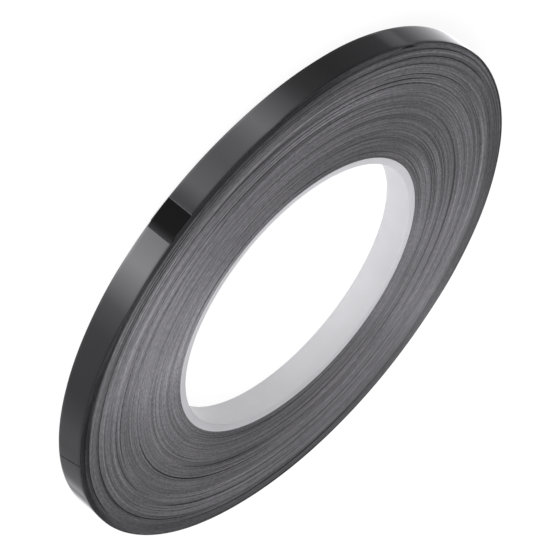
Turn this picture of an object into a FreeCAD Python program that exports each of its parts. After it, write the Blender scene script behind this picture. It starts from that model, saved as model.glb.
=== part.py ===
import FreeCAD, Part
import os
import Sketcher

# A roll of lined foil tape on a plastic core, lying flat on Z = 0 with the core's bore along Z.
# The tape is one strip of three plies, from the inside out liner, adhesive and foil. It is wound
# counter-clockwise seen from above, and its free end is held down by a small adhesive tab.
# Lengths are in millimetres. Bearings are in degrees, counter-clockwise from +X.

DIMENSIONS = (
    ("tape_width", 5.56, "width of the tape, the core and the tab: 7/32 inch"),
    ("foil_thickness", 0.035, "foil ply, the tape's outer face"),
    ("adhesive_thickness", 0.035, "adhesive ply between foil and liner"),
    ("liner_thickness", 0.095, "release liner, the tape's inner face"),
    ("wound_turns", 136, "turns of tape between the core and the tip of the free end"),
    ("last_turn_slack", 0.05, "room that opens under the last turn towards its tip"),
    ("core_bore_radius", 27.0, "radius of the core's bore"),
    ("core_wall", 1.43, "wall of the core"),
    ("core_edge_round", 0.35, "rounding of the bore's two mouths"),
    ("tack_thickness", 0.1, "double-sided strip that holds the inner end to the core"),
    ("tack_length", 12.0, "length of that strip around the core"),
    ("tack_width", 4.0, "width of that strip, centred on the tape"),
    ("tack_bearing", 60.0, "bearing at which that strip starts"),
    ("tack_clearance", 0.03, "room between that strip and the core and turns around it"),
    ("tip_bearing", 276.0, "bearing of the free end's cut edge"),
    ("free_end_length", 26.0, "length of the last stretch, which lifts off the roll"),
    ("tab_length", 5.85, "length of the hold-down tab around the roll"),
    ("tab_lap", 1.1, "how far the tab reaches past the free end's cut edge"),
    ("tab_film_thickness", 0.05, "film of the hold-down tab"),
    ("tab_adhesive_thickness", 0.025, "adhesive under that film"),
    ("tab_clearance", 0.02, "room between the tab and the free end that it peels off"),
)

DOCUMENT = "FoilTapeRoll"
SHEET = "Dimensions"
PARTS_FOLDER = "parts"
FULL_TURN = 360
HALF_TURN = "180"
OVERHANG = "1"
TOUCHING = 1e-6


def size(name):
    """The expression that reads one driving dimension."""
    return f"{SHEET}.{name}"


def total(*terms):
    """The expression that adds its terms."""
    return "(" + " + ".join(terms) + ")"


def less(first, *rest):
    """The expression that takes the other terms from the first."""
    return "(" + " - ".join((first,) + rest) + ")"


def half(term):
    """The expression for half of a term."""
    return f"({term} / 2)"


def arc(length, radius):
    """The expression for the angle that a length covers on a radius."""
    return f"({length} / {radius} * 180 / pi)"


WIDTH = size("tape_width")
CORE_RADIUS = total(size("core_bore_radius"), size("core_wall"))
LINED = total(size("liner_thickness"), size("adhesive_thickness"))
LAMINATE = total(LINED, size("foil_thickness"))

# The winding grows by one laminate a turn, so its outside is a spiral of two arcs. The first half
# turn past the tip is centred on the bore. The second is centred half of the turn's growth from
# there towards the tip, which keeps the two arcs tangent where they meet. The last turn grows by
# its slack as well, so it starts on the turn below and ends just clear of it.
START_RADIUS = total(CORE_RADIUS, f"({less(size('wound_turns'), '2')} * {LAMINATE})")
PACK_SHIFT = half(LAMINATE)
TURN_SHIFT = half(total(LAMINATE, size("last_turn_slack")))
TIP = size("tip_bearing")
HALF_WAY = total(TIP, HALF_TURN)
END_INNER = total(START_RADIUS, TURN_SHIFT)
END_OUTER = total(END_INNER, LAMINATE)
FREE_SWEEP = arc(size("free_end_length"), END_OUTER)
FREE_ROOT = less(TIP, FREE_SWEEP)

PLIES = (
    ("liner", "0", size("liner_thickness")),
    ("adhesive", size("liner_thickness"), LINED),
    ("foil", LINED, LAMINATE),
)


def make_sheet(doc):
    """The driving dimensions, one named cell each."""
    sheet = doc.addObject("Spreadsheet::Sheet", SHEET)
    for row, (name, value, meaning) in enumerate(DIMENSIONS, start=1):
        sheet.set(f"A{row}", name)
        sheet.set(f"B{row}", str(value))
        sheet.set(f"C{row}", meaning)
        sheet.setAlias(f"B{row}", name)
    doc.recompute()
    return sheet


def cylinder(doc, name, radius, height, low="0", bearing="0", sweep=None, shift="0"):
    """A cylinder, or its wedge over a sweep, with its axis shifted from the bore's towards the tip."""
    piece = doc.addObject("Part::Cylinder", name)
    piece.setExpression("Radius", radius)
    piece.setExpression("Height", height)
    if sweep is None:
        piece.Angle = FULL_TURN
    else:
        piece.setExpression("Angle", sweep)
    piece.setExpression(".Placement.Base.x", f"{shift} * cos({TIP})")
    piece.setExpression(".Placement.Base.y", f"{shift} * sin({TIP})")
    piece.setExpression(".Placement.Base.z", low)
    piece.setExpression(".Placement.Rotation.Angle", bearing)
    return piece


def cut(doc, name, base, tool):
    """The base with the tool's room taken out."""
    piece = doc.addObject("Part::Cut", name)
    piece.Base = base
    piece.Tool = tool
    return piece


def join(doc, name, pieces):
    """Touching stretches of one piece as one solid."""
    piece = doc.addObject("Part::MultiFuse", name)
    piece.Shapes = pieces
    piece.Refine = True
    return piece


def band(doc, name, inner, outer, bearing, sweep, shift="0", low="0", height=WIDTH):
    """A curved strip between two radii, from a bearing over a sweep."""
    outside = cylinder(doc, f"{name}_outside", outer, height, low, bearing, sweep, shift)
    through = total(height, OVERHANG, OVERHANG)
    inside = cylinder(doc, f"{name}_inside", inner, through, less(low, OVERHANG), shift=shift)
    return cut(doc, name, outside, inside)


def round_edges(shape, radius):
    """The names of a shape's circular edges of one radius."""
    names = []
    for number, edge in enumerate(shape.Edges, start=1):
        if isinstance(edge.Curve, Part.Circle) and abs(edge.Curve.Radius - radius) < TOUCHING:
            names.append(f"Edge{number}")
    return names


def make_core(doc):
    """The plastic ring: a cut length of tube with the bore's mouths rounded."""
    body = doc.addObject("PartDesign::Body", "core")
    sketch = body.newObject("Sketcher::SketchObject", "core_section")
    plane = next(each for each in body.Origin.OriginFeatures if each.Role == "XY_Plane")
    sketch.AttachmentSupport = [(plane, "")]
    sketch.MapMode = "FlatFace"
    for name, radius in (("bore", size("core_bore_radius")), ("outside", CORE_RADIUS)):
        first_guess = doc.getObject(SHEET).core_bore_radius
        centre = FreeCAD.Vector(0, 0, 0)
        circle = sketch.addGeometry(Part.Circle(centre, FreeCAD.Vector(0, 0, 1), first_guess), False)
        sketch.addConstraint(Sketcher.Constraint("Coincident", circle, 3, -1, 1))
        number = sketch.addConstraint(Sketcher.Constraint("Radius", circle, first_guess))
        sketch.renameConstraint(number, name)
        sketch.setExpression(f"Constraints.{name}", radius)
    tube = body.newObject("PartDesign::Pad", "core_tube")
    tube.Profile = sketch
    tube.setExpression("Length", WIDTH)
    doc.recompute()
    mouths = body.newObject("PartDesign::Fillet", "core_mouths")
    mouths.Base = (tube, round_edges(tube.Shape, doc.getObject(SHEET).core_bore_radius))
    mouths.setExpression("Radius", f"min({size('core_edge_round')}; {half(size('core_wall'))})")
    body.Tip = mouths
    return body


def tack_strip(doc, name, room="0"):
    """The strip between the core and the first turn, grown on every side by the room around it."""
    gap = size("tack_clearance")
    inner = total(CORE_RADIUS, less(gap, room))
    outer = total(CORE_RADIUS, gap, size("tack_thickness"), room)
    low = less(half(less(WIDTH, size("tack_width"))), room)
    height = total(size("tack_width"), room, room)
    start = less(size("tack_bearing"), arc(room, CORE_RADIUS))
    sweep = arc(total(size("tack_length"), room, room), CORE_RADIUS)
    return band(doc, name, inner, outer, start, sweep, low=low, height=height)


def make_pack(doc):
    """Every turn under the last one, as one solid that the core and the strip fit into."""
    first = cylinder(doc, "pack_first_half", START_RADIUS, WIDTH, "0", TIP, HALF_TURN)
    outer = total(START_RADIUS, PACK_SHIFT)
    second = cylinder(doc, "pack_second_half", outer, WIDTH, "0", HALF_WAY, HALF_TURN, PACK_SHIFT)
    disc = join(doc, "pack_disc", [first, second])
    through = total(WIDTH, OVERHANG, OVERHANG)
    bore = cylinder(doc, "pack_bore", CORE_RADIUS, through, less("0", OVERHANG))
    ring = cut(doc, "pack_ring", disc, bore)
    room = tack_strip(doc, "tack_room", size("tack_clearance"))
    return cut(doc, "wound_tape", ring, room)


def make_last_turn(doc):
    """The last turn's plies: each is held down as far as the free end's root, and free from there."""
    pieces = []
    for ply, low, high in PLIES:
        name = f"outer_turn_{ply}"
        inner, outer = total(START_RADIUS, low), total(START_RADIUS, high)
        first = band(doc, f"{name}_first_half", inner, outer, TIP, HALF_TURN)
        inner, outer = total(END_INNER, low), total(END_INNER, high)
        rest = less(HALF_TURN, FREE_SWEEP)
        second = band(doc, f"{name}_second_half", inner, outer, HALF_WAY, rest, TURN_SHIFT)
        pieces.append(join(doc, name, [first, second]))
        free = band(doc, f"free_end_{ply}", inner, outer, FREE_ROOT, FREE_SWEEP, TURN_SHIFT)
        pieces.append(free)
    return pieces


def make_tab_layer(doc, name, under, thickness):
    """One layer of the tab: it lies on the free end, steps down its cut edge and laps on the roll."""
    first = less(TIP, arc(less(size("tab_length"), size("tab_lap")), END_OUTER))
    step = total(TIP, arc(under, END_OUTER))
    foot = total(TIP, arc(total(under, thickness), END_OUTER))
    last = total(TIP, arc(size("tab_lap"), END_OUTER))
    upper = total(END_OUTER, under)
    lower = total(END_INNER, less(under, size("tab_clearance")))
    top = total(upper, thickness)
    shoe = total(lower, thickness)
    pieces = [
        band(doc, f"{name}_upper", upper, top, first, less(step, first), TURN_SHIFT),
        band(doc, f"{name}_riser", lower, top, step, less(foot, step), TURN_SHIFT),
        band(doc, f"{name}_lap", lower, shoe, foot, less(last, foot), TURN_SHIFT),
    ]
    return join(doc, name, pieces)


def make_tab(doc):
    """The hold-down tab: a layer of adhesive and the film on it."""
    adhesive = size("tab_adhesive_thickness")
    clearance = size("tab_clearance")
    film_under = total(clearance, adhesive)
    return [
        make_tab_layer(doc, "tab_adhesive", clearance, adhesive),
        make_tab_layer(doc, "hold_down_tab", film_under, size("tab_film_thickness")),
    ]


def check(doc, pieces):
    """Stops unless every object is sound and every piece is one valid closed solid."""
    for each in doc.Objects:
        if "Invalid" in each.State or "Error" in each.State:
            raise RuntimeError(f"{each.Label} did not build: {each.State}")
    for piece in pieces:
        shape = piece.Shape
        if shape.isNull() or not shape.isValid() or len(shape.Solids) != 1:
            raise RuntimeError(f"{piece.Label} is not one valid solid")


def main():
    doc = FreeCAD.newDocument(DOCUMENT)
    make_sheet(doc)
    pieces = [make_core(doc), tack_strip(doc, "core_tack"), make_pack(doc)]
    pieces += make_last_turn(doc)
    pieces += make_tab(doc)
    doc.recompute()
    check(doc, pieces)
    os.makedirs(PARTS_FOLDER, exist_ok=True)
    for piece in pieces:
        piece.Shape.exportStep(os.path.join(PARTS_FOLDER, f"{piece.Label}.step"))
        print(f"{piece.Label}: {piece.Shape.Volume:.3f} mm3")


main()
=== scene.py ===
import math

import bmesh
import bpy
from mathutils import Matrix, Vector, noise


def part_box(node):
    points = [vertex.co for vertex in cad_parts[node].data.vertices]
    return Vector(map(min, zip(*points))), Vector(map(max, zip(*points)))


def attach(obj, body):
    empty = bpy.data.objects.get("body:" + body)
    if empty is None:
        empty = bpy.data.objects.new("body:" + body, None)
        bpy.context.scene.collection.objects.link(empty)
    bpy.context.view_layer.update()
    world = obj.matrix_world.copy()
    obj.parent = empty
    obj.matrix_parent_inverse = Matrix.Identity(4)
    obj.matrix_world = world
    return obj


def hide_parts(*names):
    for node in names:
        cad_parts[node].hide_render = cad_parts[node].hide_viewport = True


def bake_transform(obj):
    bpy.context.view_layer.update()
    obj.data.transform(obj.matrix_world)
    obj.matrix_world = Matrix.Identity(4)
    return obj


bl_info = {
    "name": "Foil Tape Roll",
    "version": (1, 0, 0),
    "blender": (4, 5, 0),
    "location": "3D View > Sidebar > Tape Roll",
    "description": "Models a roll of lined foil tape around its CAD frame",
    "category": "Add Mesh",
}

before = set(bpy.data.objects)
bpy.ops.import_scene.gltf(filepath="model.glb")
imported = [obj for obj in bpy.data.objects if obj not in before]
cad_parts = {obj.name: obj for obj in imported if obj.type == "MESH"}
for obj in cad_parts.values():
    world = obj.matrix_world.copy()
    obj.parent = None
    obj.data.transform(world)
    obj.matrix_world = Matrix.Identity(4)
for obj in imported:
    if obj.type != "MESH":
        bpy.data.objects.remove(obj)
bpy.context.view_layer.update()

MM = 0.001


# ---------------------------------------------------------------- sizes that the frame gives

def corners(node):
    """The corners of a CAD node's mesh, which all lie on its true surface."""
    return [v.co.copy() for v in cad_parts[node].data.vertices]


def nearest(node):
    """The least distance of a CAD node from the bore's axis."""
    return min(math.hypot(co.x, co.y) for co in corners(node))


def furthest(node):
    """The greatest distance of a CAD node from the bore's axis."""
    return max(math.hypot(co.x, co.y) for co in corners(node))


def bearings(node, middle=(0.0, 0.0)):
    """The bearings about a point at which a short node starts and ends, seen from above."""
    found = [math.atan2(co.y - middle[1], co.x - middle[0]) % math.tau for co in corners(node)]
    return min(found), max(found)


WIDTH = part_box("core")[1].z
BORE_RADIUS = nearest("core")
CORE_RADIUS = furthest("core")
START_RADIUS = nearest("outer_turn_liner")
LINER = nearest("outer_turn_adhesive") - START_RADIUS
ADHESIVE = nearest("outer_turn_foil") - START_RADIUS - LINER
FOIL = furthest("free_end_foil") - furthest("free_end_adhesive")
LAMINATE = LINER + ADHESIVE + FOIL
TURNS = round((START_RADIUS - CORE_RADIUS) / LAMINATE)
TIP = bearings("free_end_foil")[1]
LAST_GROWTH = furthest("free_end_foil") - START_RADIUS - LAMINATE
LAST_MIDDLE = (LAST_GROWTH / 2 * math.cos(TIP), LAST_GROWTH / 2 * math.sin(TIP))
FREE_SWEEP = TIP - bearings("free_end_foil", LAST_MIDDLE)[0]
TAB_FIRST, TAB_LAST = bearings("hold_down_tab", LAST_MIDDLE)
GLUE = nearest("hold_down_tab") - nearest("tab_adhesive")
FILM = furthest("hold_down_tab") - furthest("tab_adhesive")
TAB_CLEARANCE = furthest("tab_adhesive") - GLUE - furthest("free_end_foil")

PLIES = (
    ("liner", 0.0, LINER, "release_liner"),
    ("adhesive", LINER, LINER + ADHESIVE, "tape_glue"),
    ("foil", LINER + ADHESIVE, LAMINATE, "black_foil"),
)


# ---------------------------------------------------------------- settings

class TapeRollSizes(bpy.types.PropertyGroup):
    """Sizes of the detail that the CAD frame doesn't hold."""

    mouth_round: bpy.props.FloatProperty(
        name="Mouth Rounding", description="Rounding of the core's bore at both mouths",
        default=0.15 * MM, min=0, unit="LENGTH")
    rim_round: bpy.props.FloatProperty(
        name="Rim Rounding", description="Rounding of the core's outer corners",
        default=0.1 * MM, min=0, unit="LENGTH")
    dish: bpy.props.FloatProperty(
        name="Dish", description="How far the core's upper end sinks from its outside to its bore",
        default=0.14 * MM, min=0, unit="LENGTH")
    ridge: bpy.props.FloatProperty(
        name="Ridge",
        description="How far the liner and foil edges stand above the adhesive between",
        default=0.012 * MM, min=0, unit="LENGTH")
    wander: bpy.props.FloatProperty(
        name="Wander", description="How far single turns wander up and down along the tape",
        default=0.035 * MM, min=0, unit="LENGTH")
    drift: bpy.props.FloatProperty(
        name="Drift", description="How far whole groups of turns stand out or back",
        default=0.05 * MM, min=0, unit="LENGTH")
    shoulder_width: bpy.props.FloatProperty(
        name="Shoulder Width",
        description="How much of the side face slopes down towards the last turn",
        default=1.5 * MM, min=0, unit="LENGTH")
    set_back: bpy.props.FloatProperty(
        name="Set-back", description="Share of the amount that the last turn's edges stand back",
        default=1.0, min=0, max=2, subtype="FACTOR")
    bulge: bpy.props.FloatProperty(
        name="Bulge",
        description="Share of the amount that the last turn bulges away from the roll",
        default=1.0, min=0, max=2, subtype="FACTOR")
    waver: bpy.props.FloatProperty(
        name="Waver", description="How far the last turn's edges waver along the tape",
        default=0.012 * MM, min=0, unit="LENGTH")
    margin: bpy.props.FloatProperty(
        name="Margin",
        description="Width of the strip's margins, which fall away towards its edges",
        default=0.45 * MM, min=0, unit="LENGTH")
    margin_fall: bpy.props.FloatProperty(
        name="Margin Fall", description="How far the margins fall away at the edges",
        default=0.035 * MM, min=0, unit="LENGTH")
    joggle: bpy.props.FloatProperty(
        name="Joggle", description="Length over which the tab steps down past the free end's tip",
        default=0.9 * MM, min=0, unit="LENGTH")


class TapeRollFinishes(bpy.types.PropertyGroup):
    """Colours and glosses of the roll."""

    core_colour: bpy.props.FloatVectorProperty(
        name="Core", description="White plastic of the core", subtype="COLOR", size=4,
        default=(0.7, 0.7, 0.705, 1), min=0, max=1)
    face_colour: bpy.props.FloatVectorProperty(
        name="Foil Face", description="Black coating on the foil", subtype="COLOR", size=4,
        default=(0.004, 0.004, 0.0044, 1), min=0, max=1)
    edge_colour: bpy.props.FloatVectorProperty(
        name="Edges", description="Slit edges of the wound turns", subtype="COLOR", size=4,
        default=(0.225, 0.223, 0.231, 1), min=0, max=1)
    adhesive_colour: bpy.props.FloatVectorProperty(
        name="Adhesive", description="Adhesive under the foil and the tab", subtype="COLOR", size=4,
        default=(0.03, 0.03, 0.031, 1), min=0, max=1)
    liner_colour: bpy.props.FloatVectorProperty(
        name="Liner", description="Release liner", subtype="COLOR", size=4,
        default=(0.06, 0.06, 0.063, 1), min=0, max=1)
    tab_colour: bpy.props.FloatVectorProperty(
        name="Tab", description="Film of the hold-down tab", subtype="COLOR", size=4,
        default=(0.0045, 0.0045, 0.0046, 1), min=0, max=1)
    face_roughness: bpy.props.FloatProperty(
        name="Face Roughness", description="Roughness of the foil's coated face",
        default=0.08, min=0, max=1, subtype="FACTOR")
    edge_roughness: bpy.props.FloatProperty(
        name="Edge Roughness", description="Roughness of the slit edges",
        default=0.5, min=0, max=1, subtype="FACTOR")


class TapeRollStudio(bpy.types.PropertyGroup):
    """The camera and the light."""

    elevation: bpy.props.FloatProperty(
        name="Elevation", description="Camera's height above the horizon",
        default=math.radians(25.112), subtype="ANGLE")
    roll: bpy.props.FloatProperty(
        name="Roll", description="Turn of the camera about its own line of sight",
        default=math.radians(128.69), subtype="ANGLE")
    distance: bpy.props.FloatProperty(
        name="Distance", description="Distance from the camera to the middle of the top face",
        default=595.4 * MM, min=0, unit="LENGTH")
    sideways: bpy.props.FloatProperty(
        name="Sideways", description="How far the line of sight passes to the right of that middle",
        default=-3.43 * MM, unit="LENGTH")
    upwards: bpy.props.FloatProperty(
        name="Upwards", description="How far the line of sight passes above that middle",
        default=2.84 * MM, unit="LENGTH")
    lens: bpy.props.FloatProperty(
        name="Lens", description="Focal length in millimetres on a 36 mm sensor",
        default=224.1, min=1)
    zenith: bpy.props.FloatProperty(
        name="Zenith", description="Level of the light from straight above",
        default=0.12, min=0)
    distant: bpy.props.FloatProperty(
        name="Distant", description="Level that the far side of the room adds",
        default=0.1, min=0)
    fill: bpy.props.FloatProperty(
        name="Fill", description="Level that the wide soft panel on the left adds",
        default=0.8, min=0)
    side: bpy.props.FloatProperty(
        name="Side", description="Level that the low soft panel on the right adds",
        default=1.6, min=0)
    panel: bpy.props.FloatProperty(
        name="Panel", description="Level that the small soft panel on the right adds",
        default=2.6, min=0)


GROUPS = (
    ("tape_roll_sizes", TapeRollSizes),
    ("tape_roll_finishes", TapeRollFinishes),
    ("tape_roll_studio", TapeRollStudio),
)


def sizes():
    """The sizes that the scene holds."""
    return bpy.context.scene.tape_roll_sizes


def finishes():
    """The finishes that the scene holds."""
    return bpy.context.scene.tape_roll_finishes


def studio():
    """The camera and light settings that the scene holds."""
    return bpy.context.scene.tape_roll_studio


# ---------------------------------------------------------------- winding

# How fast the waver of the last turn's edges changes around the roll.
WAVER_RATE = 6.0

# How far the last turn's edges stand back from the roll's two sides, as bearing and millimetres.
TOP_SET_BACK = (
    (0, 0.3), (30, 0.15), (60, 0.15), (85, 0.2), (102, 0.24), (115, 0.13), (130, 0.1),
    (150, 0.15), (185, 0.75), (205, 0.85), (216, 0.65), (232, 0.58), (243, 0.42), (249, 0.18),
    (262, 0.12), (272, 0.05), (292, 0.05), (299, 0.22), (312, 0.4), (325, 0.52), (345, 0.52),
    (360, 0.3),
)
BOTTOM_SET_BACK = (
    (0, 0.05), (40, 0.2), (160, 0.2), (195, 0.0), (220, 0.0), (234, 0.12), (250, 0.24),
    (268, 0.22), (280, 0.08), (290, 0.0), (320, 0.0), (360, 0.05),
)

# How far the last turn bulges away from the turns under it, as bearing and millimetres.
BULGE = (
    (0, 0.1), (50, 0), (150, 0), (185, 0.2), (205, 0.24), (225, 0.2), (240, 0.07), (258, 0),
    (282, 0), (295, 0.06), (310, 0.12), (335, 0.22), (360, 0.1),
)


def wound_point(turned, radius, height, growth):
    """Where a point of the strip lies once it has turned by an angle from the tip's bearing.

    A turn grows by its two arcs: the second half turn is centred half of the growth towards
    the tip.
    """
    shift = growth / 2 if turned > math.pi else 0.0
    bearing = TIP + turned
    x = shift * math.cos(TIP) + (radius + shift) * math.cos(bearing)
    y = shift * math.sin(TIP) + (radius + shift) * math.sin(bearing)
    return Vector((x, y, height))


def eased(share):
    """A share from 0 to 1 that leaves and arrives without a corner."""
    share = min(max(share, 0.0), 1.0)
    return share * share * (3 - 2 * share)


def between(value, start, end):
    """How far a value has come from a start to an end, as an eased share."""
    return eased((value - start) / (end - start))


def read_off(table, bearing):
    """The value that a table of bearings in degrees gives at a bearing, eased between its rows."""
    place = math.degrees(bearing) % 360
    row = max(number for number in range(len(table) - 1) if table[number][0] <= place)
    (low, first), (high, last) = table[row], table[row + 1]
    return first + (last - first) * between(place, low, high)


def bulge(turned):
    """How far the last turn stands away from its tight winding."""
    return sizes().bulge * read_off(BULGE, TIP + turned) * MM


def set_back(turned, table, seed):
    """How far the last turn's edge stands back from a side of the roll."""
    place = Vector((math.cos(turned) * WAVER_RATE, math.sin(turned) * WAVER_RATE, seed))
    waver = sizes().waver * (1 + noise.noise(place))
    return sizes().set_back * read_off(table, TIP + turned) * MM + waver


# ---------------------------------------------------------------- meshes

TONE = "tone"
UV_MAP = "UVMap"
SHARP = math.radians(35)
LAST_TURN_STEPS = 1536
ACROSS_STEPS = 24
BOTTOM_SEED = 50.0


def span_grid(bm, low, high, columns, rows):
    """A flat grid in the XY plane from one corner to the other, with a UV map over it."""
    bm.loops.layers.uv.new(UV_MAP)
    middle = (Vector(low) + Vector(high)) / 2
    half = (Vector(high) - Vector(low)) / 2
    matrix = Matrix.Translation(middle.to_3d()) @ Matrix.Diagonal((half.x, half.y, 1, 1))
    bmesh.ops.create_grid(bm, x_segments=columns, y_segments=rows, size=1, matrix=matrix,
                          calc_uvs=True)


def thicken(bm, thickness):
    """Gives a flat sheet its thickness downwards, as a closed solid."""
    made = bmesh.ops.extrude_face_region(bm, geom=bm.faces[:])
    moved = [each for each in made["geom"] if isinstance(each, bmesh.types.BMVert)]
    bmesh.ops.translate(bm, verts=moved, vec=(0, 0, -thickness))
    bmesh.ops.recalc_face_normals(bm, faces=bm.faces[:])


def make_piece(bm, name, material, body):
    """Turns a bmesh into a piece, which rides on a body if one is given."""
    mesh = bpy.data.meshes.new(name)
    for face in bm.faces:
        face.smooth = True
    bm.to_mesh(mesh)
    bm.free()
    mesh.set_sharp_from_angle(angle=SHARP)
    piece = bpy.data.objects.new(name, mesh)
    bpy.context.scene.collection.objects.link(piece)
    mesh.materials.append(material)
    if body:
        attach(piece, body)
    return piece


def strip(name, base, low, high, first, last, growth, material):
    """A ply from one turned angle to another, wound with its faces at two depths."""
    bm = bmesh.new()
    steps = max(2, round(LAST_TURN_STEPS * (last - first) / math.tau))
    span_grid(bm, (first, 0), (last, 1), steps, ACROSS_STEPS)
    bmesh.ops.translate(bm, verts=bm.verts[:], vec=(0, 0, high))
    thicken(bm, high - low)
    for v in bm.verts:
        turned, across, depth = v.co
        bottom = set_back(turned, BOTTOM_SET_BACK, BOTTOM_SEED)
        top = WIDTH - set_back(turned, TOP_SET_BACK, 0.0)
        height = bottom + (top - bottom) * across
        inset = max(0.0, 1 - min(height - bottom, top - height) / sizes().margin)
        fall = sizes().margin_fall * inset ** 2
        v.co = wound_point(turned, base + depth - fall + bulge(turned), height, growth)
    bmesh.ops.recalc_face_normals(bm, faces=bm.faces[:])
    return make_piece(bm, name, finish_of(material), None)


# ---------------------------------------------------------------- shader nodes

IOR = 1.5

# The range that most of a noise's values lie in.
NOISE_RANGE = (0.3, 0.7)


def add(tree, kind, inputs=None, output=0, **settings):
    """Adds a shader node, wires or sets its inputs and returns one of its outputs."""
    made = tree.nodes.new(kind)
    for name, value in settings.items():
        setattr(made, name, value)
    for name, value in (inputs or {}).items():
        if isinstance(value, bpy.types.NodeSocket):
            tree.links.new(value, made.inputs[name])
        else:
            made.inputs[name].default_value = value
    return made.outputs[output]


def math_node(tree, operation, *values):
    """Adds a maths node and returns its result."""
    return add(tree, "ShaderNodeMath", dict(enumerate(values)), operation=operation)


def mapped(tree, value, low, high, to_low, to_high, smooth=False):
    """A value mapped from one range to another and held at its ends."""
    kind = "SMOOTHSTEP" if smooth else "LINEAR"
    inputs = {"Value": value, "From Min": low, "From Max": high, "To Min": to_low,
              "To Max": to_high}
    return add(tree, "ShaderNodeMapRange", inputs, interpolation_type=kind)


def split_xyz(tree, vector):
    """The three parts of a vector."""
    split = tree.nodes.new("ShaderNodeSeparateXYZ")
    tree.links.new(vector, split.inputs[0])
    return split.outputs


def object_coordinates(tree):
    """A point's place in the object's own coordinates."""
    return add(tree, "ShaderNodeTexCoord", output="Object")


def around_roll(tree, around, across, along=0.0):
    """Coordinates that join up round the roll: the bearing's cosine and sine times a rate, and
    radius and height, each times its own rate."""
    x, y, z = split_xyz(tree, object_coordinates(tree))

    def times(first, second):
        return math_node(tree, "MULTIPLY", first, second)

    radius = math_node(tree, "SQRT", math_node(tree, "ADD", times(x, x), times(y, y)))
    arm = around * START_RADIUS
    inputs = {
        0: times(math_node(tree, "DIVIDE", x, radius), arm),
        1: times(math_node(tree, "DIVIDE", y, radius), arm),
        2: math_node(tree, "ADD", times(radius, across), times(z, along)),
    }
    return add(tree, "ShaderNodeCombineXYZ", inputs)


def noise_of(tree, vector, scale=1.0, detail=2.0):
    """Noise in three dimensions at a vector."""
    inputs = {"Vector": vector, "Scale": scale, "Detail": detail}
    return add(tree, "ShaderNodeTexNoise", inputs, noise_dimensions="3D")


def spread(tree, value, least, most):
    """Noise spread out from a least to a most value."""
    return mapped(tree, value, *NOISE_RANGE, least, most)


def mesh_tone(tree):
    """How light the mesh says that its surface is."""
    return add(tree, "ShaderNodeAttribute", output="Fac", attribute_name=TONE)


def new_material(name, **principled):
    """A Principled material with some inputs set, as itself, its tree and its shader node."""
    material = bpy.data.materials.new(name)
    material.use_nodes = True
    tree = material.node_tree
    shader = tree.nodes["Principled BSDF"]
    shader.inputs["IOR"].default_value = IOR
    for key, value in principled.items():
        shader.inputs[key.replace("_", " ")].default_value = value
    return material, tree, shader


def tint(tree, shader, colour, amount):
    """Gives a shader a colour times an amount, which is 1 where the colour stays as it is."""
    inputs = {0: colour[:3], 3: amount}
    scaled = add(tree, "ShaderNodeVectorMath", inputs, operation="SCALE")
    tree.links.new(scaled, shader.inputs["Base Color"])


def bump(tree, shader, height, depth):
    """Bumps a shader by a height from 0 to 1 that stands for a depth in metres."""
    normal = add(tree, "ShaderNodeBump", {"Strength": 1.0, "Distance": depth, "Height": height})
    tree.links.new(normal, shader.inputs["Normal"])


# ---------------------------------------------------------------- materials

# A finish that hardly gleams, for crushed edges and the tab's film.
DULL = {"Roughness": 0.5, "Specular_IOR_Level": 0.05}

# Fine streaks along the turns, short and long: their rates around the roll and across it, and the
# least and the most that they multiply the lightness by.
STREAKS = (
    (900, 7000, 0.72, 1.28),
    (40, 5500, 0.76, 1.24),
)


def white_plastic():
    """The core's plastic, faintly clouded, with fine marks around it and painted shade and light.
    """
    material, tree, shader = new_material("white_plastic", Roughness=0.42)
    cloud = noise_of(tree, object_coordinates(tree), scale=180, detail=3)
    clouded = spread(tree, cloud, least=0.97, most=1.02)
    shade = math_node(tree, "MULTIPLY", mesh_tone(tree), clouded)
    tint(tree, shader, finishes().core_colour, shade)
    marks = noise_of(tree, around_roll(tree, around=60, across=9000, along=9000), detail=2)
    bump(tree, shader, marks, depth=0.004 * MM)
    return material


def black_foil():
    """The foil's glossy coating, with a soft swell along the tape."""
    roughness = finishes().face_roughness
    material, tree, shader = new_material("black_foil", Roughness=roughness)
    shader.inputs["Base Color"].default_value = finishes().face_colour
    swell = noise_of(tree, around_roll(tree, around=140, across=0, along=120), detail=1)
    bump(tree, shader, swell, depth=0.02 * MM)
    return material


def streaked_tone(tree):
    """How light the wound edges are: what the mesh carries, painted sheen and shade included, with
    fine streaks along the turns.
    """
    tone = mesh_tone(tree)
    for around, across, least, most in STREAKS:
        streaks = noise_of(tree, around_roll(tree, around, across), detail=1)
        tone = math_node(tree, "MULTIPLY", tone, spread(tree, streaks, least, most))
    return tone


def slit_edges():
    """The slit edges of the wound turns, brushed along the turns and part bare metal."""
    settings = {"Metallic": 0.4, "Roughness": finishes().edge_roughness, "Anisotropic": 0.9}
    material, tree, shader = new_material("slit_edges", **settings)
    tangent = add(tree, "ShaderNodeTangent", direction_type="UV_MAP", uv_map=UV_MAP)
    tree.links.new(tangent, shader.inputs["Tangent"])
    tint(tree, shader, finishes().edge_colour, streaked_tone(tree))
    return material


def crushed_edges():
    """The outermost edges where they are crushed over, which no longer gleam."""
    material, tree, shader = new_material("crushed_edges", **DULL)
    tint(tree, shader, finishes().edge_colour, streaked_tone(tree))
    return material


def mottled_ply(name, colour, roughness):
    """A plain ply with a faint mottle."""
    material, tree, shader = new_material(name, Roughness=roughness, Specular_IOR_Level=0.5)
    mottle = noise_of(tree, object_coordinates(tree), scale=900, detail=3)
    tint(tree, shader, colour, spread(tree, mottle, least=0.85, most=1.15))
    bump(tree, shader, mottle, depth=0.003 * MM)
    return material


def release_liner():
    """The liner under the adhesive."""
    return mottled_ply("release_liner", finishes().liner_colour, roughness=0.45)


def tape_glue():
    """The adhesive under the foil and the tab."""
    return mottled_ply("tape_glue", finishes().adhesive_colour, roughness=0.35)


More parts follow.
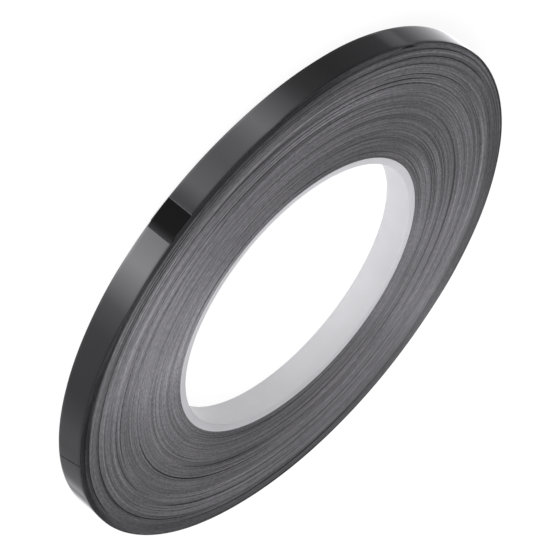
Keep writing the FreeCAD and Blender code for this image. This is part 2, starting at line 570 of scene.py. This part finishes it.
def black_film():
    """The tab's film, with painted highlights at its cut edge and where it steps down past the free
    end's tip.
    """
    material, tree, shader = new_material("black_film", **DULL)
    tint(tree, shader, finishes().tab_colour, mesh_tone(tree))
    return material


MATERIALS = {
    "white_plastic": white_plastic,
    "black_foil": black_foil,
    "slit_edges": slit_edges,
    "crushed_edges": crushed_edges,
    "release_liner": release_liner,
    "tape_glue": tape_glue,
    "black_film": black_film,
}


def finish_of(name):
    """A material, made the first time that it is asked for."""
    return bpy.data.materials.get(name) or MATERIALS[name]()


# ---------------------------------------------------------------- the core

CORNER_STEPS = 5
CORE_STEPS = 256

# Painted shade and light on the core's upper end: how light it is, as bearing and share.
CORE_PAINTED_SHADING = (
    (0, 0.9), (20, 0.84), (40, 0.82), (60, 0.83), (80, 0.89), (100, 0.94), (120, 1.03),
    (140, 1.04), (160, 0.99), (180, 1.03), (200, 1.03), (220, 1.06), (240, 1.09), (260, 1.06),
    (280, 1.03), (300, 1.06), (310, 1.06), (320, 0.99), (340, 0.96), (360, 0.9),
)


class TAPEROLL_OT_core(bpy.types.Operator):
    """Makes the plastic core with rounded corners, and finishes the strip that holds the tape"""

    bl_idname = "taperoll.core"
    bl_label = "Core"

    def execute(self, context):
        bm = bmesh.new()
        middle = Vector(((BORE_RADIUS + CORE_RADIUS) / 2, 0, WIDTH / 2))
        wall = (CORE_RADIUS - BORE_RADIUS) / 2
        placed = Matrix.Translation(middle) @ Matrix.Rotation(math.pi / 2, 4, "X")
        matrix = placed @ Matrix.Diagonal((wall, WIDTH / 2, 1, 1))
        bmesh.ops.create_grid(bm, x_segments=1, y_segments=1, size=1, matrix=matrix)
        inner = [v for v in bm.verts if v.co.x < middle.x]
        outer = [v for v in bm.verts if v.co.x > middle.x]
        for v in inner:
            if v.co.z > middle.z:
                v.co.z -= sizes().dish
        for corner, rounding in ((inner, sizes().mouth_round), (outer, sizes().rim_round)):
            bmesh.ops.bevel(bm, geom=corner, offset=rounding, offset_type="OFFSET",
                            affect="VERTICES", segments=CORNER_STEPS, profile=0.5, material=-1)
        bmesh.ops.delete(bm, geom=bm.faces[:], context="FACES_ONLY")
        bmesh.ops.spin(bm, geom=bm.edges[:] + bm.verts[:], cent=(0, 0, 0), axis=(0, 0, 1),
                       angle=math.tau, steps=CORE_STEPS, use_merge=True)
        bmesh.ops.recalc_face_normals(bm, faces=bm.faces[:])
        tones = bm.verts.layers.float.new(TONE)
        # Painted shade and light on the upper end, by bearing.
        for v in bm.verts:
            off_wall = eased((math.hypot(v.co.x, v.co.y) - BORE_RADIUS) / sizes().mouth_round)
            upper = off_wall * (v.co.z > middle.z)
            v[tones] = 1 + (read_off(CORE_PAINTED_SHADING, math.atan2(v.co.y, v.co.x)) - 1) * upper
        ring = make_piece(bm, "core_ring", finish_of("white_plastic"), "roll")
        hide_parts("core")
        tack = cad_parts["core_tack"].data.materials
        tack.clear()
        tack.append(finish_of("tape_glue"))
        return {"FINISHED"}


# ---------------------------------------------------------------- the wound turns

POINTS_A_TURN = 3
EDGE_STEPS = 192

# How fast single turns, a few together, whole groups and gleaming turns change across the roll,
# in noise cells a turn, and how fast all of them change along the tape.
WANDER_RATE = 0.72
FEW_RATE = 0.47
DRIFT_RATE = 0.27
GLINT_RATE = 0.83
ALONG_RATE = 0.9

# What keeps the kinds of noise apart.
GLINT_SEED = 30.0
RATE_SHIFT = 7

# A turn gleams, or falls back as a gap, by as much as its noise is over this share, and a gap's
# height falls by that many times as much.
GAP_SHARE = 0.18
GAP_DEPTH = 2

# The share of the ridges' height that is lost on the shoulder, over which part of its width that
# sets in, and the power by which the shoulder curves down.
CALMED = 0.65
CALMED_OVER = (0.0, 0.25)
SHOULDER_CURVE = 1.2

# Over which sines of the bearing the side away from the tab sets in, and the side with the tab.
FAR_SIDE = (0.2, 13 / 15)
NEAR_SIDE = (-1 / 2, -5 / 6)

# Groups differ in tone on the near side only: over which shares of the outer radius that sets in,
# and over which it fades again and how much.
GROUPS_FROM = (0.75, 0.95)
GROUPS_UNTIL = (0.88, 0.92)
GROUPS_LOST = 0.6

# What is left of the gleam next to the core, and over which part of the build-up it grows.
GLINT_LEAST = 0.3
GLINT_OVER = (0.3, 0.8)

# How much lighter or darker each thing makes a turn; the glints are painted glints and the
# darkening of gaps is painted shade.
SINGLE_TONE = 0.85
FEW_TONE = 0.3
GROUP_TONE = 1.3
GLINT_TONE = 1.7
GAP_PAINTED_SHADE = 1.1
GLUE_TONE = 0.2
DARKEST = 0.05

# How much more the turns differ at the shoulder, and over which part of its width.
SHOULDER_CONTRAST = 0.8
CONTRAST_OVER = (0, 1 / 3)

# Turns that stand back: radius in millimetres, first bearing and sweep in degrees, and depth and
# width in millimetres.
SUNK_TURNS = (
    (29.63, 226, 72, 0.14, 0.21),
    (31.92, 232, 62, 0.1, 0.18),
    (32.67, 112, 66, 0.1, 0.18),
    (33.5, 128, 54, 0.1, 0.18),
    (35.88, 8, 174, 0.12, 0.21),
    (38.4, 338, 76, 0.15, 0.21),
    (39.98, 212, 46, 0.09, 0.18),
    (40.14, 256, 58, 0.13, 0.21),
    (40.97, 220, 46, 0.09, 0.18),
    (42.25, 272, 74, 0.11, 0.18),
    (42.58, 220, 48, 0.1, 0.18),
    (43.17, 316, 44, 0.1, 0.18),
    (43.44, 184, 68, 0.1, 0.18),
    (44.4, 196, 62, 0.11, 0.18),
    (44.2, 12, 48, 0.1, 0.18),
    (45.2, 172, 54, 0.1, 0.18),
    (46.0, 262, 48, 0.1, 0.18),
    (47.2, 182, 240, 0.14, 0.21),
    (48.0, 224, 80, 0.11, 0.2),
    (48.16, 24, 60, 0.09, 0.18),
    (48.6, 228, 80, 0.09, 0.18),
    (48.65, 174, 60, 0.14, 0.21),
    (49.3, 318, 36, 0.14, 0.21),
    (49.45, 228, 86, 0.1, 0.18),
    (50.5, 209.5, 3.5, 0.3, 0.25),
)

# The powers by which such a turn eases in along its sweep and across its width, how much painted
# shade darkens it, and how far back it is as dark as that.
SUNK_ENDS = 0.5
SUNK_SIDES = 4
SUNK_PAINTED_SHADE = 0.85
SUNK_FULL = 0.08 * MM

# The tables below go by bearing and share. The painted sheen and shade of the wound edges halfway
# out, and how much lighter that gets from the core to the last turn.
HALFWAY = 0.42
FACE_PAINTED_SHADING = (
    (0, 0.88), (30, 0.89), (60, 0.85), (90, 0.96), (100, 1.0), (120, 0.79), (140, 0.88),
    (165, 1.0), (180, 0.9), (200, 0.9), (220, 1.0), (250, 1.06), (280, 1.11), (300, 1.02),
    (320, 1.19), (345, 1.02), (360, 0.88),
)
FACE_PAINTED_SHADING_TRENDS = (
    (0, -0.37), (20, -0.1), (40, 0.12), (60, -0.05), (80, 0.08), (100, 0.12), (120, -0.18),
    (145, -0.55), (165, -0.5), (180, -0.09), (200, 0.35), (220, 0.35), (240, -0.1), (260, -0.4),
    (280, -0.22), (300, -0.4), (320, -0.65), (340, -0.37), (360, -0.37),
)

# What share of that painted sheen and shade is left next to the core, and over which part of the
# build-up that sets in.
INNER_OVER = (0.38, 0.18)
INNER_PAINTED_SHADING = (
    (0, 1.09), (20, 0.96), (40, 1.0), (60, 0.96), (80, 1.02), (100, 0.96), (120, 0.87),
    (140, 0.93), (160, 1.0), (180, 0.98), (200, 0.98), (220, 0.86), (240, 0.77), (260, 0.84),
    (280, 1.02), (300, 1.0), (320, 1.06), (340, 1.15), (360, 1.09),
)

# The painted shade on the outermost turns, as the share that is left, and over which distances from
# the shoulder, in shoulder widths, that sets in.
OUTER_SHADE_OVER = (-27 / 12, -7 / 12)
OUTER_PAINTED_SHADE = (
    (0, 0.83), (20, 0.57), (40, 0.56), (60, 0.6), (80, 0.55), (100, 0.58), (120, 0.57),
    (140, 0.72), (160, 0.88), (180, 1.0), (200, 0.85), (220, 0.62), (240, 0.47), (260, 0.41),
    (280, 0.6), (300, 0.76), (310, 0.72), (320, 0.85), (330, 1.0), (340, 1.0), (360, 0.83),
)

# The painted shade and sheen at the rim, as the share that is left, how steeply the tone changes to
# it across the shoulder and how late, and how much earlier it does around the middle of the crushed
# stretch.
RIM_STEEPNESS = 2.9
RIM_LATE = 0.3
RIM_EARLY = 0.6
RIM_EARLY_OVER = (0.85, 0.975)
RIM_PAINTED_SHADING = (
    (0, 0.7), (20, 0.68), (40, 0.46), (60, 0.31), (80, 0.52), (100, 0.76), (120, 0.48),
    (140, 0.58), (160, 1.03), (180, 1.2), (200, 0.72), (220, 0.34), (240, 0.13), (260, 0.16),
    (280, 0.09), (287, 0.16), (300, 0.37), (312, 0.24), (322, 0.17), (332, 0.25), (342, 0.34),
    (352, 0.43), (360, 0.7),
)

# How strongly the lines show.
LINE_STRENGTHS = (
    (0, 0.8), (15, 0.8), (45, 1.05), (75, 1.0), (105, 1.15), (135, 0.85), (165, 1.2), (195, 0.8),
    (225, 1.0), (255, 1.5), (285, 1.0), (315, 0.6), (345, 0.75), (360, 0.8),
)

# Where the outermost turns are crushed, and how many of them.
CRUSHED_TURNS = 6
CRUSHED_FIRST = math.radians(285)
CRUSHED_LAST = math.radians(352)
CRUSHED_TAPER = math.radians(15)
CRUSHED_MIDDLE = math.radians(318)


def sunk(radius, bearing):
    """How far a turn stands back at a radius and a bearing."""
    deepest = 0.0
    for middle, first, sweep, most, width in SUNK_TURNS:
        share = ((math.degrees(bearing) - first) % 360) / sweep
        aside = abs(radius - middle * MM) / (width / 2 * MM)
        if share < 1 and aside < 1:
            along = math.sin(math.pi * share) ** SUNK_ENDS
            deepest = max(deepest, most * MM * along * (1 - aside ** SUNK_SIDES))
    return deepest


def build_up(radius):
    """How far out a radius lies between the core and the last turn, as a share."""
    return (radius - CORE_RADIUS) / (START_RADIUS - CORE_RADIUS)


def shoulder(radius):
    """How far a radius lies across the shoulder: 0 where it starts and 1 at the last turn."""
    return (radius - START_RADIUS - LAMINATE) / sizes().shoulder_width + 1


def wandering(wound, turned, rate, seed):
    """A value that changes from turn to turn at a rate and more slowly along them."""
    around = Vector((0, math.cos(turned), math.sin(turned))) * ALONG_RATE
    return noise.noise(around + Vector((wound * rate, seed, RATE_SHIFT * rate)))


def gleam(wound, turned, radius, seed):
    """How much single turns gleam at a point, as painted glints, and on the far side a few turns
    together.
    """
    lit = max(0.0, wandering(wound, turned, GLINT_RATE, seed + GLINT_SEED) - GAP_SHARE)
    wide = max(0.0, wandering(wound, turned, FEW_RATE, seed + 2 * GLINT_SEED) - GAP_SHARE)
    lit += wide * between(math.sin(TIP + turned), *FAR_SIDE)
    return lit * (GLINT_LEAST + (1 - GLINT_LEAST) * between(build_up(radius), *GLINT_OVER))


def grouped(radius, bearing):
    """How much whole groups of turns differ in tone at a radius and a bearing."""
    share = radius / START_RADIUS
    started = between(share, *GROUPS_FROM) * (1 - GROUPS_LOST * between(share, *GROUPS_UNTIL))
    return started * between(math.sin(bearing), *NEAR_SIDE)


def edge_shape(ring, turned, seed):
    """The height of the side face over its plane, and how light it is with painted sheen and shade,
    at one point of a ring.
    """
    turn, ply = divmod(ring, POINTS_A_TURN)
    wound = turn + turned / math.tau
    radius = CORE_RADIUS + (ring / POINTS_A_TURN + turned / math.tau) * LAMINATE
    bearing = TIP + turned
    single, few, group = (wandering(wound, turned, rate, seed)
                          for rate in (WANDER_RATE, FEW_RATE, DRIFT_RATE))
    gap = max(0.0, single - GAP_SHARE)
    back = sunk(radius, bearing)
    across = max(0.0, shoulder(radius))

    rise = sizes().ridge * (0.5 if ply else -0.5)
    rise += sizes().wander * (single - GAP_DEPTH * gap + few) + sizes().drift * group
    rise *= 1 - CALMED * between(across, *CALMED_OVER)
    table = BOTTOM_SET_BACK if seed else TOP_SET_BACK
    slope = set_back(turned, table, seed) * across ** SHOULDER_CURVE

    swing = SINGLE_TONE * single + FEW_TONE * few
    swing += GROUP_TONE * grouped(radius, bearing) * group
    swing *= 1 + SHOULDER_CONTRAST * between(across, *CONTRAST_OVER)
    # Painted glints on the gleaming turns; the gaps below are darkened as painted shade.
    swing += GLINT_TONE * gleam(wound, turned, radius, seed)
    tone = 1 + swing * read_off(LINE_STRENGTHS, bearing) - GAP_PAINTED_SHADE * gap - GLUE_TONE * (not ply)
    # Painted shade in the turns that stand back.
    tone *= 1 - SUNK_PAINTED_SHADE * min(1.0, back / SUNK_FULL)
    return rise - back - slope, max(tone, DARKEST) * painted_sheen(radius, bearing)


def painted_sheen(radius, bearing):
    """The painted sheen and shade of the edges as a whole at a radius and a bearing."""
    share = build_up(radius)
    face = read_off(FACE_PAINTED_SHADING, bearing) + read_off(FACE_PAINTED_SHADING_TRENDS, bearing) * (share - HALFWAY)
    face *= 1 + (read_off(INNER_PAINTED_SHADING, bearing) - 1) * between(share, *INNER_OVER)
    across = shoulder(radius)
    # Painted shade over the outermost turns, and painted shade and sheen at the rim.
    outer_shade, rim = read_off(OUTER_PAINTED_SHADE, bearing), read_off(RIM_PAINTED_SHADING, bearing)
    kept = 1 + (outer_shade - 1) * between(across, *OUTER_SHADE_OVER)
    early = RIM_EARLY * between(math.cos(bearing - CRUSHED_MIDDLE), *RIM_EARLY_OVER)
    return face * (kept + (rim - kept) * eased(across * RIM_STEEPNESS - RIM_LATE + early))


def edge_ring(name, seed, mirrored):
    """One side of the wound turns: its ridged face, backed down to the middle of the tape."""
    rings = TURNS * POINTS_A_TURN
    bm = bmesh.new()
    span_grid(bm, (0, 0), (rings, math.tau), rings, EDGE_STEPS)
    tones = bm.verts.layers.float.new(TONE)
    top = bm.verts[:]
    # The grid is a ring apart in x, so an edge that spans less than half a ring runs along one.
    arcs = [e for e in bm.edges if e.is_boundary and abs(e.verts[0].co.x - e.verts[1].co.x) < 0.5]
    made = bmesh.ops.extrude_edge_only(bm, edges=arcs)["geom"]
    foot = [each for each in made if isinstance(each, bmesh.types.BMVert)]
    heights = {v: WIDTH / 2 for v in foot}
    for v in top:
        rise, tone = edge_shape(round(v.co.x), v.co.y, seed)
        heights[v] = WIDTH + rise
        v[tones] = tone
    for face in bm.faces:
        middle = face.calc_center_median()
        bearing = (TIP + middle.y) % math.tau
        share = min(1.0, min(bearing - CRUSHED_FIRST, CRUSHED_LAST - bearing) / CRUSHED_TAPER)
        uncrushed = rings - share * CRUSHED_TURNS * POINTS_A_TURN
        face.material_index = share > 0 and middle.x > uncrushed
    for v, height in heights.items():
        ring, turned = round(v.co.x), v.co.y
        radius = CORE_RADIUS + ring * LAMINATE / POINTS_A_TURN
        radius += bulge(turned) * min(1.0, max(0.0, shoulder(radius))) ** 2
        if ring == rings:
            radius -= FOIL
        v.co = wound_point(turned, radius, height, LAMINATE if ring else 0.0)
    feet = set(foot)
    open_edges = [e for e in bm.edges if e.is_boundary and set(e.verts) <= feet]
    bmesh.ops.bridge_loops(bm, edges=open_edges)
    ends = [e for e in bm.edges if e.is_boundary]
    bmesh.ops.holes_fill(bm, edges=ends, sides=0)
    if mirrored:
        bmesh.ops.scale(bm, verts=bm.verts[:], vec=(1, 1, -1))
        bmesh.ops.translate(bm, verts=bm.verts[:], vec=(0, 0, WIDTH))
    bmesh.ops.recalc_face_normals(bm, faces=bm.faces[:])
    piece = make_piece(bm, name, finish_of("slit_edges"), "roll")
    piece.data.materials.append(finish_of("crushed_edges"))
    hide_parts("wound_tape")


class TAPEROLL_OT_wound_edges(bpy.types.Operator):
    """Makes the wound turns' two side faces and the foil face of the turn under the last one"""

    bl_idname = "taperoll.wound_edges"
    bl_label = "Wound Edges"

    def execute(self, context):
        edge_ring("wound_edges_top", 0.0, mirrored=False)
        edge_ring("wound_edges_bottom", BOTTOM_SEED, mirrored=True)
        under = strip("turn_under_foil", START_RADIUS - LAMINATE, LAMINATE - FOIL, LAMINATE,
                      0, math.tau, LAMINATE, "black_foil")
        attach(under, "roll")
        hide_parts("wound_tape")
        return {"FINISHED"}


# ---------------------------------------------------------------- the last turn and its free end

CREASE_FIRST = math.radians(330.9)
CREASE_LAST = math.radians(332.9)
CREASE_HALF = math.radians(0.13)


def crease(piece):
    """Dulls the foil's coating along a fine slanting crease that crosses the last turn."""
    mesh = piece.data
    mesh.materials.append(finish_of("black_film"))
    for face in mesh.polygons:
        middle = face.center
        bearing = math.atan2(middle.y - LAST_MIDDLE[1], middle.x - LAST_MIDDLE[0]) % math.tau
        line = CREASE_FIRST + (CREASE_LAST - CREASE_FIRST) * (1 - middle.z / WIDTH)
        if abs(bearing - line) < CREASE_HALF:
            face.material_index = 1


class TAPEROLL_OT_last_turn(bpy.types.Operator):
    """Makes the last turn as far as the free end's root, ply by ply"""

    bl_idname = "taperoll.last_turn"
    bl_label = "Last Turn"

    def execute(self, context):
        for ply, low, high, material in PLIES:
            held = strip(f"last_turn_{ply}", START_RADIUS, low, high, 0, math.tau - FREE_SWEEP,
                         LAST_GROWTH, material)
            if ply == "foil":
                crease(held)
            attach(held, "roll")
            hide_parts(f"outer_turn_{ply}")
        return {"FINISHED"}


class TAPEROLL_OT_free_end(bpy.types.Operator):
    """Makes the free end, ply by ply"""

    bl_idname = "taperoll.free_end"
    bl_label = "Free End"

    def execute(self, context):
        along = math.tau - FREE_SWEEP
        for ply, low, high, material in PLIES:
            free = strip(f"free_strip_{ply}", START_RADIUS, low, high, along, math.tau,
                         LAST_GROWTH, material)
            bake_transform(free)
            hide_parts(f"free_end_{ply}")
        return {"FINISHED"}


# ---------------------------------------------------------------- the hold-down tab

TAB_STEPS = 112

# How far the tab's two sides stand back from the roll's upper and lower side.
TAB_UPPER_EDGE = 0.08 * MM
TAB_LOWER_EDGE = 0.32 * MM

# How wide the painted highlight on the tab's cut edge is and how light, and how far before the free
# end's tip the painted highlight where the tab steps down starts and how much lighter it gets.
TAB_RIM = math.radians(0.16)
TAB_RIM_HIGHLIGHT = 30
TAB_FADE = math.radians(0.8)
TAB_STEP_HIGHLIGHT = 12


def tab_layer(name, under, thickness, material):
    """One layer of the tab, which lies on the free end and steps down past its tip."""
    bm = bmesh.new()
    span_grid(bm, (TAB_FIRST, 0), (TAB_LAST, 1), TAB_STEPS, ACROSS_STEPS)
    tones = bm.verts.layers.float.new(TONE)
    bmesh.ops.translate(bm, verts=bm.verts[:], vec=(0, 0, under + thickness))
    thicken(bm, thickness)
    outside = START_RADIUS + LAMINATE
    step = sizes().joggle / outside
    for v in bm.verts:
        bearing, across, depth = v.co
        down = (LAMINATE + TAB_CLEARANCE) * eased((bearing - TIP) / step)
        height = TAB_LOWER_EDGE + (WIDTH - TAB_UPPER_EDGE - TAB_LOWER_EDGE) * across
        # Painted highlights on the cut edge and over the step down past the tip.
        faded = max(0.0, (bearing - TIP + TAB_FADE) / (TAB_LAST - TIP + TAB_FADE))
        at_rim = bearing < TAB_FIRST + TAB_RIM
        v[tones] = TAB_RIM_HIGHLIGHT if at_rim else 1 + TAB_STEP_HIGHLIGHT * faded ** 2
        v.co = wound_point(bearing - TIP + math.tau, outside + depth - down, height, LAST_GROWTH)
    bmesh.ops.recalc_face_normals(bm, faces=bm.faces[:])
    piece = make_piece(bm, name, finish_of(material), None)
    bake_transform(piece)
    return piece


class TAPEROLL_OT_tab(bpy.types.Operator):
    """Makes the hold-down tab, a film over adhesive"""

    bl_idname = "taperoll.tab"
    bl_label = "Hold-down Tab"

    def execute(self, context):
        glue = tab_layer("tab_glue", TAB_CLEARANCE, GLUE, "tape_glue")
        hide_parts("tab_adhesive")
        film = tab_layer("tab_film", TAB_CLEARANCE + GLUE, FILM, "black_film")
        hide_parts("hold_down_tab")
        return {"FINISHED"}


# ---------------------------------------------------------------- the stage

# The light from below the horizon, as bearing and level. The floor hides it from all but
# reflections.
HORIZON = (
    (0, 0.63), (18, 0.72), (26, 0.64), (30, 0.54), (52, 0.45), (60.5, 0.85), (64.5, 0.45),
    (68, 0.66), (76, 1.25), (100, 2.1), (107, 1.4), (120, 1.17), (147.5, 0.47), (149.5, 0.76),
    (154, 0.72), (157.5, 0.6), (159.5, 0.36), (192, 0.38), (204, 0.56), (210, 0.92), (220, 2.0),
    (229, 3.1), (240, 2.13), (248, 1.86), (262, 2.55), (270, 1.25), (284, 4.0), (299, 5.3),
    (306, 3.8), (317, 1.65), (330, 0.95), (360, 0.63),
)

# The level that full white stands for in that table's ramp.
BRIGHTEST = 6.0

# The heights between which that light gives way to the light overhead, and those over which it
# gets stronger further down, by how much.
OVERHEAD_FROM = (-0.36, -0.18)
STRONGER_OVER = (-0.7, -0.42)
STRONGER = 1.6

# The soft panels overhead: where they are, how many degrees from there they are full and gone, and
# the setting that holds their level.
PANELS = (
    ((0, 0.95, 0.3), 10, 45, "distant"),
    ((-0.5, -0.45, 0.75), 15, 50, "fill"),
    ((0.75, -0.35, 0.55), 12, 35, "side"),
    ((0.45, 0.2, 0.87), 12, 30, "panel"),
)

FLOOR_RADIUS = 3.0
FLOOR_DROP = 0.02 * MM
FLOOR_SIDES = 64
WHITE = (1, 1, 1, 1)

# The colour of the light in the room.
LIGHT = (0.997, 0.985, 1.025, 1)

# What the floor gives off and how light it is, as it lights the roll and as the camera sees it.
BOUNCE_GLOW = 0.35
BOUNCE_GREY = (0.8, 0.8, 0.8, 1)
SEEN_GLOW = 0.9
SEEN_GREY = (0.16, 0.16, 0.16, 1)

CLIP_START = 0.01
CLIP_END = 10.0


def glowing(tree, glow, grey):
    """A matt surface that also gives off light."""
    given = add(tree, "ShaderNodeEmission", {"Color": WHITE, "Strength": glow})
    matt = add(tree, "ShaderNodeBsdfDiffuse", {"Color": grey})
    return add(tree, "ShaderNodeAddShader", {0: given, 1: matt})


def make_floor():
    """Makes a white floor that takes only a faint shadow."""
    bm = bmesh.new()
    bmesh.ops.create_circle(bm, cap_ends=True, segments=FLOOR_SIDES, radius=FLOOR_RADIUS,
                            matrix=Matrix.Translation((0, 0, -FLOOR_DROP)))
    mesh = bpy.data.meshes.new("floor")
    bm.to_mesh(mesh)
    bm.free()
    floor = bpy.data.objects.new("floor", mesh)
    bpy.context.scene.collection.objects.link(floor)
    floor.visible_glossy = False
    material = bpy.data.materials.new("floor")
    material.use_nodes = True
    tree = material.node_tree
    tree.nodes.remove(tree.nodes["Principled BSDF"])
    seen = add(tree, "ShaderNodeLightPath", output="Is Camera Ray")
    lighting = glowing(tree, BOUNCE_GLOW, BOUNCE_GREY)
    shown = glowing(tree, SEEN_GLOW, SEEN_GREY)
    mixed = add(tree, "ShaderNodeMixShader", {0: seen, 1: lighting, 2: shown})
    tree.links.new(mixed, tree.nodes["Material Output"].inputs["Surface"])
    mesh.materials.append(material)


def reflected_level(tree, x, y, z):
    """The level of the light from below the horizon, by bearing and height."""
    turn = math_node(tree, "DIVIDE", math_node(tree, "ARCTAN2", y, x), math.tau)
    ramp = tree.nodes.new("ShaderNodeValToRGB")
    tree.links.new(math_node(tree, "FRACT", math_node(tree, "ADD", turn, 1.0)), ramp.inputs["Fac"])
    stops = ramp.color_ramp.elements
    for bearing, level in HORIZON:
        place = bearing / 360
        stop = stops[0] if place == 0 else stops[-1] if place == 1 else stops.new(place)
        stop.position = place
        stop.color = (level / BRIGHTEST,) * 3 + (1,)
    strength = mapped(tree, z, *STRONGER_OVER, STRONGER * BRIGHTEST, BRIGHTEST)
    return math_node(tree, "MULTIPLY", ramp.outputs["Color"], strength)


def overhead_level(tree, direction):
    """The level of the light from above: even, with soft panels."""
    level = studio().zenith
    for place, full, gone, setting in PANELS:
        inputs = {0: direction, 1: Vector(place).normalized()}
        facing = add(tree, "ShaderNodeVectorMath", inputs, output="Value", operation="DOT_PRODUCT")
        start, end = math.cos(math.radians(gone)), math.cos(math.radians(full))
        soft = mapped(tree, facing, start, end, 0, getattr(studio(), setting), smooth=True)
        level = math_node(tree, "ADD", level, soft)
    return level


def make_light():
    """Makes a soft room: light overhead, and a horizon that shows in reflections only."""
    world = bpy.data.worlds.new("studio")
    bpy.context.scene.world = world
    world.use_nodes = True
    tree = world.node_tree
    tree.nodes.clear()
    direction = add(tree, "ShaderNodeTexCoord", output="Generated")
    x, y, z = split_xyz(tree, direction)
    above = mapped(tree, z, *OVERHEAD_FROM, 0, 1, smooth=True)
    inputs = {"Factor": above, "A": reflected_level(tree, x, y, z),
              "B": overhead_level(tree, direction)}
    level = add(tree, "ShaderNodeMix", inputs, data_type="FLOAT")
    seen = add(tree, "ShaderNodeLightPath", output="Is Camera Ray")
    shown = add(tree, "ShaderNodeMix", {"Factor": seen, "A": level, "B": 1.0}, data_type="FLOAT")
    colour = add(tree, "ShaderNodeMix", {"Factor": seen, "A": LIGHT, "B": WHITE}, 2,
                 data_type="RGBA")
    background = add(tree, "ShaderNodeBackground", {"Color": colour, "Strength": shown})
    output = tree.nodes.new("ShaderNodeOutputWorld")
    tree.links.new(background, output.inputs["Surface"])


def make_camera():
    """Makes the camera, aimed past the middle of the roll's upper side and turned on its aim."""
    data = bpy.data.cameras.new("camera")
    data.lens = studio().lens
    data.clip_start = CLIP_START
    data.clip_end = CLIP_END
    camera = bpy.data.objects.new("camera", data)
    bpy.context.scene.collection.objects.link(camera)
    tilt = Matrix.Rotation(math.pi / 2 - studio().elevation, 4, "X")
    turn = tilt @ Matrix.Rotation(studio().roll, 4, "Z")
    away = Vector((studio().sideways, studio().upwards, studio().distance))
    camera.matrix_world = Matrix.Translation(Vector((0, 0, WIDTH)) + turn @ away) @ turn
    bpy.context.scene.camera = camera


class TAPEROLL_OT_stage(bpy.types.Operator):
    """Makes the floor, the light and the camera"""

    bl_idname = "taperoll.stage"
    bl_label = "Stage"

    def execute(self, context):
        make_floor()
        make_light()
        make_camera()
        context.scene.view_settings.view_transform = "Standard"
        return {"FINISHED"}


# ---------------------------------------------------------------- the add-on

OPERATORS = (
    TAPEROLL_OT_core,
    TAPEROLL_OT_wound_edges,
    TAPEROLL_OT_last_turn,
    TAPEROLL_OT_free_end,
    TAPEROLL_OT_tab,
    TAPEROLL_OT_stage,
)


class TAPEROLL_PT_panel(bpy.types.Panel):
    """Lists what makes the roll and what it is made from"""

    bl_idname = "TAPEROLL_PT_panel"
    bl_label = "Foil Tape Roll"
    bl_space_type = "VIEW_3D"
    bl_region_type = "UI"
    bl_category = "Tape Roll"

    def draw(self, context):
        for operator in OPERATORS:
            self.layout.operator(operator.bl_idname)
        for name, group in GROUPS:
            box = self.layout.box()
            for setting in group.__annotations__:
                box.prop(getattr(context.scene, name), setting)


def register():
    """Adds the settings, the operators and the panel."""
    for name, group in GROUPS:
        bpy.utils.register_class(group)
        setattr(bpy.types.Scene, name, bpy.props.PointerProperty(type=group))
    for each in OPERATORS + (TAPEROLL_PT_panel,):
        bpy.utils.register_class(each)


def unregister():
    """Takes them all away again."""
    for each in reversed(OPERATORS + (TAPEROLL_PT_panel,)):
        bpy.utils.unregister_class(each)
    for name, group in reversed(GROUPS):
        delattr(bpy.types.Scene, name)
        bpy.utils.unregister_class(group)


def main():
    """Makes the whole roll and its stage."""
    register()
    bpy.ops.taperoll.core()
    bpy.ops.taperoll.wound_edges()
    bpy.ops.taperoll.last_turn()
    bpy.ops.taperoll.free_end()
    bpy.ops.taperoll.tab()
    bpy.ops.taperoll.stage()


if __name__ == "__main__":
    main()
